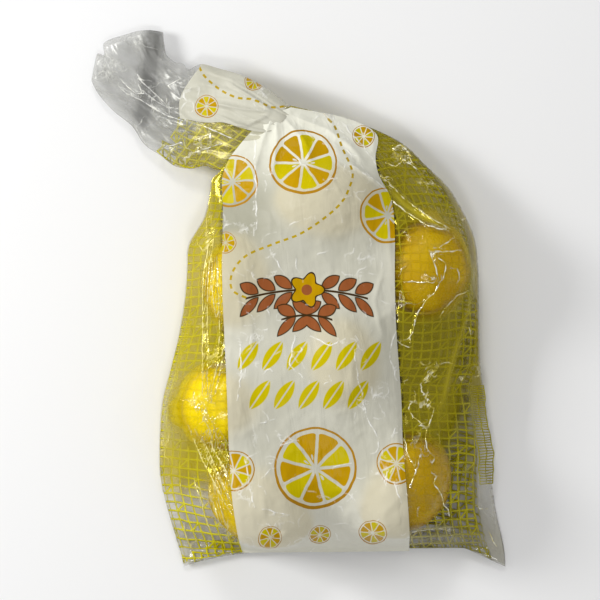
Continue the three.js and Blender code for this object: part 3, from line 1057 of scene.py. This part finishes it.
# ---- Printed band ------------------------------------------------------------------------------
# An opaque white film band down the front, printed with cut citrus, leaves and a stitched line, and
# glossy. It is welded to the clear film along both edges and runs on through the gather to the tail.
BAND_OVER_FILM = 0.45
BAND_FOLDS = [
    ([(-36, -139.5), (15, -139), (66, -138)], 0.9, 1.6),
    ([(28, 82), (40, 74), (56, 62)], 1.6, 2.2),
    ([(-16, 110), (-22, 96), (-28, 74)], 1.8, 4.0),
    ([(-14, 110), (-14, 92), (-18, 66)], 1.8, 5.0),
    ([(-12, 111), (2, 96), (8, 78)], 1.4, 4.0),
    ([(-10, 112), (16, 102), (30, 92), (40, 80)], 1.8, 4.0),
    ([(-44, 20), (-36, 0), (-34, -20)], 0.8, 2.5),
    ([(50, 20), (44, 0), (48, -20)], 0.8, 2.5),
]
BAND_CREASES = [  # sharp creases as polylines in the plan, painted as white highlights
    [(31.8, -28.2), (34.2, -46.2), (40.2, -70.2), (46.2, -82.2)],
    [(-3, -21), (-6, -37.8), (1.8, -46.2)],
    [(-24, -73.2), (-13.8, -70.2)],
    [(-33, -91.8), (-28.8, -115.8), (-26.4, -123)],
    [(25.2, 106.2), (36, 94), (46.2, 79.8)],
    [(-27, 96), (-26.4, 69), (-25.8, 42)],
    [(-18, 30), (-9, 15)],
    [(57, -18), (52.8, -33), (57.6, -48)],
    [(6, -21), (18, -27), (27, -22.8)],
    [(-36, -24), (-34.2, -42), (-37.2, -60)],
    [(45, -102), (55.2, -108), (60, -120)],
    [(-22.8, -123), (-6, -127.2)],
]
ROUTE = [  # the stitched line over the band, from the gather down to the left edge
    (17, 108), (21, 103), (25, 91), (31, 76), (29, 66), (24, 57), (14, 48), (0, 39),
    (-16, 33), (-32, 26), (-40, 16), (-40, 6), (-31, 1),
]
SLICES = [  # centre and radius, and how far it is turned
    ((2, 81.5), 20, 0.0),
    ((-41, 71), 16, 0.5),
    ((-44.5, 34), 6.6, 0.9),
    ((52, 50.5), 16.6, 0.3),
    ((38, 98), 6.6, 0.2),
    ((9, -99.5), 24.5, 0.15),
    ((57, -96.5), 12, 0.6),
    ((-39, -101), 12, 0.1),
    ((-18, -141), 7.2, 0.4),
    ((12, -140.5), 6.4, 0.8),
    ((43.5, -138.5), 8, 0.0),
]
TAIL_SLICES = [((-56, 116), 6.9, 0.3), ((-27.5, 130.5), 5.7, 0.0)]
INK_GREEN = rgb(194, 178, 0)
INK_AMBER = rgb(186, 144, 0)
INK_RIM = rgb(170, 124, 24)
INK_DARK = rgb(62, 44, 20)
INK_CLAY = rgb(148, 84, 44)
WEDGES = 9


def slice_print(shade, place, slices, ground):
    """Paints cut citrus on a ground colour: rim, white pith, and wedges in two inks round a hub."""
    where, turned, covered = None, None, None
    for (cx, cy), radius, turn in slices:
        scale = 1 / (radius * MM)
        offset = (-(cx + plan_shift) * MM * scale, -cy * MM * scale, 0)
        mapped = {0: place, 1: (scale, scale, 0), 2: offset}
        local = shade.node("VectorMath", {"operation": "MULTIPLY_ADD"}, mapped)
        reach = shade.node("VectorMath", {"operation": "LENGTH"}, {0: local}, out="Value")
        hit = reach.maths("LESS_THAN", 1.0)
        local = shade.node("VectorMath", {"operation": "SCALE"}, {0: local, "Scale": hit})
        if where is None:
            where, turned, covered = local, hit * turn, hit
        else:
            where = shade.node("VectorMath", {"operation": "ADD"}, {0: where, 1: local})
            turned, covered = turned + hit * turn, covered + hit
    x = shade.node("SeparateXYZ", {}, {0: where}, out="X")
    y = shade.node("SeparateXYZ", {}, {0: where}, out="Y")
    reach = shade.node("VectorMath", {"operation": "LENGTH"}, {0: where}, out="Value")
    angle = y.maths("ARCTAN2", x) / math.tau + 0.5 + turned
    wedge = (angle * WEDGES).maths("FRACT")
    number = (angle * WEDGES).maths("FLOOR").maths("MODULO", WEDGES)
    to_gap = (0.5 - (wedge - 0.5).maths("ABSOLUTE")) * reach * (math.tau / WEDGES)
    corner = ((wedge - 0.5) * 2.02).maths("ABSOLUTE") ** 7 + (reach / 0.85) ** 9
    inked = to_gap.over(0.028, 0.045) * corner.over(1.02, 0.94) * reach.over(0.07, 0.1)
    seed = (((reach - 0.27) / 0.07) ** 2 + ((wedge - 0.5) / 0.13) ** 2).over(1.1, 0.9)
    seed = seed * number.maths("MODULO", 4).maths("LESS_THAN", 0.5)
    amber = number.maths("MODULO", 2).maths("GREATER_THAN", 0.5)
    amber = amber.maths("MAXIMUM", number.maths("GREATER_THAN", WEDGES - 1.5))
    thick = y.over(0.2, -0.9) * 0.03 + 0.028
    rim = (reach + thick - 0.97).over(0.0, 0.008) * covered
    wedge_ink = amber.mix(INK_GREEN, INK_AMBER)
    colour = (inked * covered * (1 - seed)).mix(ground, wedge_ink)
    return rim.mix(colour, INK_RIM)


def leaf(across, along, half_wide, half_long):
    """1 inside a pointed leaf that lies along its second coordinate, in millimetres."""
    bend = (half_long**2 - half_wide**2) / (2 * half_wide)
    radius = bend + half_wide
    out = (across.maths("ABSOLUTE") + bend) ** 2 + along**2
    return out.over((radius + 0.25) ** 2, (radius - 0.25) ** 2)


def leaf_rows(x, y, colour):
    """Two borders of tilted green leaves across the band's middle, each leaf with a bare rib."""
    pitch = 14.5
    tilt = 0.6
    for left, count, height in ((-38, 6, -33), (-31, 5, -56)):
        across = ((x - left) / pitch).maths("FRACT") * pitch - pitch / 2
        up = y - height
        u = across * math.cos(tilt) - up * math.sin(tilt)
        v = across * math.sin(tilt) + up * math.cos(tilt)
        painted = leaf(u, v, 4.2, 10.6) * u.maths("ABSOLUTE").over(0.3, 0.6)
        painted = painted * x.maths("GREATER_THAN", left) * x.maths("LESS_THAN", left + pitch * count)
        painted = painted * up.maths("ABSOLUTE").maths("LESS_THAN", 11)
        colour = painted.mix(colour, INK_GREEN)
    return colour


def sprig(x, y, colour):
    """A blossom between two leafy twigs, the same on both sides."""
    middle, height = 4, 6
    out = (x - middle).maths("ABSOLUTE")
    up = y - height + out * out * 0.004
    twig = up.maths("ABSOLUTE").over(0.75, 0.5) * out.maths("GREATER_THAN", 6) * out.over(36.3, 36)
    colour = twig.mix(colour, INK_DARK)
    side = up.maths("ABSOLUTE") - 5.4
    low = (y - height + 15 + out * out * 0.012).maths("ABSOLUTE")
    colour = (low.over(0.75, 0.5) * out.over(15.3, 15)).mix(colour, INK_DARK)
    for place, beside in ((14, side), (24, side), (34, side), (3, low - 4.6), (12, low - 4.6)):
        u = (out - place) * math.cos(0.9) - beside * math.sin(0.9)
        v = (out - place) * math.sin(0.9) + beside * math.cos(0.9)
        colour = leaf(u, v, 3.4, 7.2).mix(colour, INK_DARK)
        colour = leaf(u, v, 2.7, 6.3).mix(colour, INK_CLAY)
    cx, cy = x - middle, y - height
    reach = (cx * cx + cy * cy).maths("SQRT")
    petals = reach - (cy.maths("ARCTAN2", cx) * 5).maths("COSINE") * 1.9
    colour = petals.over(9.3, 9.0).mix(colour, INK_DARK)
    colour = petals.over(8.3, 8.0).mix(colour, INK_AMBER)
    return reach.over(3.3, 3.0).mix(colour, INK_CLAY)


def band_material(name, slices, with_middle):
    """White band under gloss: yellowed where a lemon presses on it, with painted shade and light on its
    middle, then its print, then painted white highlights along its creases.
    """
    material, shade, surface = new_material(name, {"IOR": 1.5, "Specular IOR Level": 0.06})
    place = shade.node("TexCoord", out="Object")
    x = shade.node("SeparateXYZ", {}, {0: place}, out="X") * (1 / MM) - plan_shift
    y = shade.node("SeparateXYZ", {}, {0: place}, out="Y") * (1 / MM)
    press = shade.node("Attribute", {"attribute_name": "press"}, out="Fac")
    side = shade.node("Attribute", {"attribute_name": "crease_side"}, out="Fac")
    strength = shade.node("Attribute", {"attribute_name": "crease_strength"}, out="Fac")
    route = shade.node("Attribute", {"attribute_name": "route"}, out="Vector")
    cloud = shade.node("TexNoise", {}, {"Vector": place, "Scale": 45, "Detail": 4})
    fine = shade.node("TexNoise", {}, {"Vector": place, "Scale": 260, "Detail": 3})
    ground = cloud.over(0.3, 0.7).mix(rgb(192, 190, 174), rgb(200, 198, 183))
    if with_middle:
        # Painted shade and light on the band's middle: darker to the upper left and higher up, lighter at the
        # bottom and at the top.
        shaded = x.over(2, -46) * y.over(-20, 10) * 0.9 + y.over(20, 45) * 0.35
        ground = shaded.mix(ground, rgb(164, 162, 144))
        ground = (y.over(-96, -150) * 0.8).mix(ground, rgb(226, 224, 210))
        ground = (y.over(56, 100) * 0.9).mix(ground, rgb(232, 231, 216))
    ground = (press * 0.6).mix(ground, rgb(206, 196, 164))
    swirl = shade.node("TexNoise", {}, {"Vector": place, "Scale": 42, "Detail": 3}, out="Color")
    pulls = {0: swirl, 1: (0.0036, 0.0036, 0), 2: (-0.0018, -0.0018, 0)}
    swirl = shade.node("VectorMath", {"operation": "MULTIPLY_ADD"}, pulls)
    wrinkled = shade.node("VectorMath", {"operation": "ADD"}, {0: place, 1: swirl})
    colour = slice_print(shade, wrinkled, slices, ground)
    if with_middle:
        colour = leaf_rows(x, y, colour)
        colour = sprig(x, y, colour)
    gone = shade.node("SeparateXYZ", {}, {0: route}, out="X")
    beside = shade.node("SeparateXYZ", {}, {0: route}, out="Y")
    dash = (gone / 5.2).maths("FRACT").over(0.57, 0.53) * beside.maths("ABSOLUTE").over(0.75, 0.6)
    colour = dash.mix(colour, rgb(178, 150, 20))
    # Painted highlights: the creases are coloured near white, and raised in the bump below.
    line = side.maths("ABSOLUTE").over(0.7, 0.1) * strength * fine.over(0.35, 0.6)
    colour = (line * 0.8).mix(colour, rgb(252, 251, 246))
    sized = {"Rotation": (0, 0, 0.1), "Scale": (1, 5, 1)}
    drawn = shade.node("Mapping", {"vector_type": "TEXTURE"}, {"Vector": place, **sized})
    pulled = shade.node("TexNoise", {}, {"Vector": drawn, "Scale": 95, "Detail": 3, "Distortion": 0.6})
    relief = line * 0.4 + cloud * 0.8 + fine * 0.06 + pulled.over(0.35, 0.7) * 0.45
    bumps = shade.node("Bump", {}, {"Strength": 0.7, "Distance": 0.001, "Height": relief})
    feed(surface, Base_Color=colour, Roughness=cloud.over(0.2, 0.8) * 0.12 + 0.26, Normal=bumps)
    return material


def route_field(x, y, points):
    """Along and beside the stitched line for each point: millimetres run, and distance off it."""
    curve = along_points(points, np.linspace(0, 1, 260))
    run = np.concatenate([[0], np.cumsum(np.hypot(*np.diff(curve, axis=0).T))])
    gone, beside = np.zeros(x.shape), np.full(x.shape, 50.0)
    for k, ((ax, ay), (bx, by)) in enumerate(zip(curve, curve[1:])):
        length = math.hypot(bx - ax, by - ay)
        f = np.clip(((x - ax) * (bx - ax) + (y - ay) * (by - ay)) / length**2, 0, 1)
        away = np.hypot(x - ax - f * (bx - ax), y - ay - f * (by - ay))
        nearer = away < np.abs(beside)
        sign = np.where((x - ax) * (by - ay) - (y - ay) * (bx - ax) > 0, 1, -1)
        beside = np.where(nearer, away * sign, beside)
        gone = np.where(nearer, run[k] + f * length, gone)
    return gone, beside


def band_piece(name, columns, rows, lay, lines, route, material):
    """One stretch of the band, with its creases, its stitched line and the lemons' press stored on it."""
    bm = bmesh.new()
    bmesh.ops.create_grid(bm, x_segments=columns, y_segments=rows, size=0.5)
    flat = np.array([v.co for v in bm.verts])
    points = lay(flat[:, 0] + 0.5, flat[:, 1] + 0.5)
    x, y = points[:, 0], points[:, 1]
    side, strength = crease_field(x, y, lines)
    gone, beside = route_field(x, y, route)
    press = np.exp(-np.maximum(0, sample(front_raster, x, y) - lemon_tops(x, y)) / PRESS_FADE)
    layers = [bm.verts.layers.float.new(n) for n in ("crease_side", "crease_strength", "press")]
    route_layer = bm.verts.layers.float_vector.new("route")
    for k, v in enumerate(bm.verts):
        v.co = points[k]
        for layer, values in zip(layers, (side, strength, press)):
            v[layer] = values[k]
        v[route_layer] = (gone[k], beside[k], 0)
    finish_piece(name, bm, material)


def lay_body_band(across, along):
    """The band on the body: a little over the front sheet, with folds of its own."""
    left, right = along_points(band_left, along), along_points(band_right, along)
    plan = left + (right - left) * across[:, None]
    x, y = plan[:, 0], plan[:, 1]
    rim = smooth(np.minimum(across, 1 - across) / 0.03)
    relief = fold_relief(x, y, BAND_FOLDS) + 0.8 * crumple(x, y, 22, 1.3) + 0.3 * crumple(x, y, 8, 2.6)
    return np.column_stack([x, y, sample(front_raster, x, y) + BAND_OVER_FILM + rim * relief])


def lay_tail_band(across, along):
    """The band on the tail: from the gather to its cut end, over the upper half of the front sheet."""
    edge = np.interp(along, [0, 0.3, 0.6, 1], [0.5, 0.5, 0.46, 0.445])
    u = edge + (1 - edge) * across
    v = 0.06 + along * (0.43 + 0.06 * np.sin(math.pi * np.clip(across * 1.1, 0, 1)) - 0.035 * across)
    point = tail_plan(u, v)
    front, _ = tail_heights(u, v, point[:, 2])
    x, y = point[:, 0], point[:, 1]
    rim = smooth((1 - across) / 0.05)
    point[:, 2] = front + BAND_OVER_FILM + rim * tail_relief(x, y, u, v)
    return point


STRAY_BAND_CREASES = 130
shoulder_fold = BAND_FOLDS[1][0]
band_lines = [(wander(shoulder_fold, 3, 0.5, rng), 0.6)]
band_lines += [(wander(points, 3, 0.6, rng), 0.9) for points in BAND_CREASES]
for centre in ((-30, -20), (-36, 46), (46, -60), (40, 20), (50, -100), (-30, -110), (20, 104)):
    band_lines += crush(centre, 9, 9, rng)
for _ in range(STRAY_BAND_CREASES):
    band_lines += crush((rng.uniform(-44, 60), rng.uniform(-150, 100)), 1, 1, rng)
band_piece(
    "band_body", 104, 272, lay_body_band, band_lines, ROUTE, band_material("printed_band", SLICES, True)
)

TAIL_ROUTE = [(-60.5, 140), (-57, 134), (-48, 126), (-38, 121), (-28, 119.5), (-17, 115), (-10, 115.5)]
tail_band_lines = crush((-24, 124), 9, 10, rng) + crush((-66, 126), 7, 8, rng)
band_piece(
    "band_tail", 60, 70, lay_tail_band, tail_band_lines, TAIL_ROUTE,
    band_material("printed_band_tail", TAIL_SLICES, False),
)

# ---- Floor, light and camera -------------------------------------------------------------------
# A plain pale matt floor, a large soft light over the upper left with three weaker ones round the bag,
# and a camera straight above it.
bm = bmesh.new()
bmesh.ops.create_grid(bm, x_segments=1, y_segments=1, size=3)
floor_mesh = bpy.data.meshes.new("floor")
bm.to_mesh(floor_mesh)
bm.free()
pale = {"Base Color": (0.86, 0.86, 0.86, 1), "Roughness": 0.7}
floor_paint, shade, surface = new_material("floor_paint", pale)
floor_mesh.materials.append(floor_paint)
floor = bpy.data.objects.new("floor", floor_mesh)
bpy.context.collection.objects.link(floor)

world = bpy.data.worlds.new("studio")
world.use_nodes = True
world.node_tree.nodes["Background"].inputs["Color"].default_value = (1, 1, 1, 1)
world.node_tree.nodes["Background"].inputs["Strength"].default_value = 0.42
bpy.context.scene.world = world

for name, place, size, power in (
    ("key", (-1.05, 0.25, 0.72), 0.35, 9.5),
    ("top", (0.0, -0.6, 1.5), 0.25, 4.2),
    ("side", (0.8, 0.3, 1.1), 0.2, 0.3),
    ("back", (-0.1, 1.0, 1.0), 0.25, 4),
):
    lamp = bpy.data.lights.new(name, "AREA")
    lamp.size = size
    lamp.energy = power
    light = bpy.data.objects.new(name, lamp)
    light.location = place
    light.rotation_euler = (-Vector(place)).to_track_quat("-Z", "Y").to_euler()
    bpy.context.collection.objects.link(light)

CAMERA_HEIGHT = 2.5
SENSOR = 36
FIELD = 0.36  # what the frame takes in, at the height of the bag's edges
EDGE_HEIGHT = 0.02
camera_data = bpy.data.cameras.new("camera")
camera_data.sensor_width = SENSOR
camera_data.lens = SENSOR * (CAMERA_HEIGHT - EDGE_HEIGHT) / FIELD
camera = bpy.data.objects.new("camera", camera_data)
camera.location = (plan_shift * MM, 0, CAMERA_HEIGHT)
bpy.context.collection.objects.link(camera)
bpy.context.scene.camera = camera
bpy.context.scene.view_settings.view_transform = "Standard"
